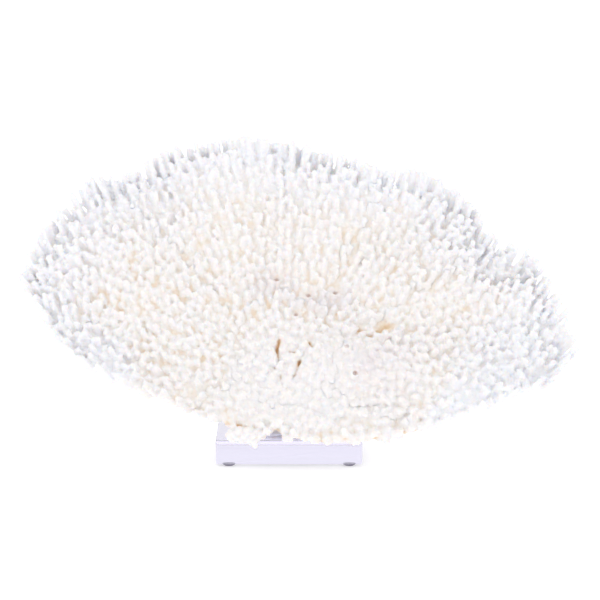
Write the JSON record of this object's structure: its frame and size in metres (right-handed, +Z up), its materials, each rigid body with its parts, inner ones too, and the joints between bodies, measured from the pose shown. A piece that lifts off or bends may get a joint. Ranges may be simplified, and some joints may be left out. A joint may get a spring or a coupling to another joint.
{
  "type": "table coral on stand",
  "caption": "Broad tilted fan of bleached table coral on a short stalk, cut flat and mounted on a clear rectangular block with round bumper feet.",
  "frame": {"origin": "middle of the underside of the whole object's bounding box, on the surface that the bumper feet stand on", "axes": "+Z up, +X to the viewer's right along the widest way across the fan, -Y towards the viewer, where the fan's upper side faces"},
  "size_m": [0.5686, 0.1708, 0.3348],
  "materials": {
    "coral": "bleached calcium carbonate skeleton, matt and finely pored",
    "acrylic": "clear polished cast acrylic with a faint violet cast",
    "bumper": "clear soft polyurethane bumper"
  },
  "bodies": {
    "root": {"coral_stalk": "coral", "coral_left_wing": "coral", "coral_back_fan": "coral", "coral_back_right_fan": "coral", "coral_right_wing": "coral", "coral_front_lip": "coral", "acrylic_block": "acrylic", "bumper_foot_front_left": "bumper", "bumper_foot_front_right": "bumper", "bumper_foot_back_left": "bumper", "bumper_foot_back_right": "bumper"}
  },
  "joints": []
}
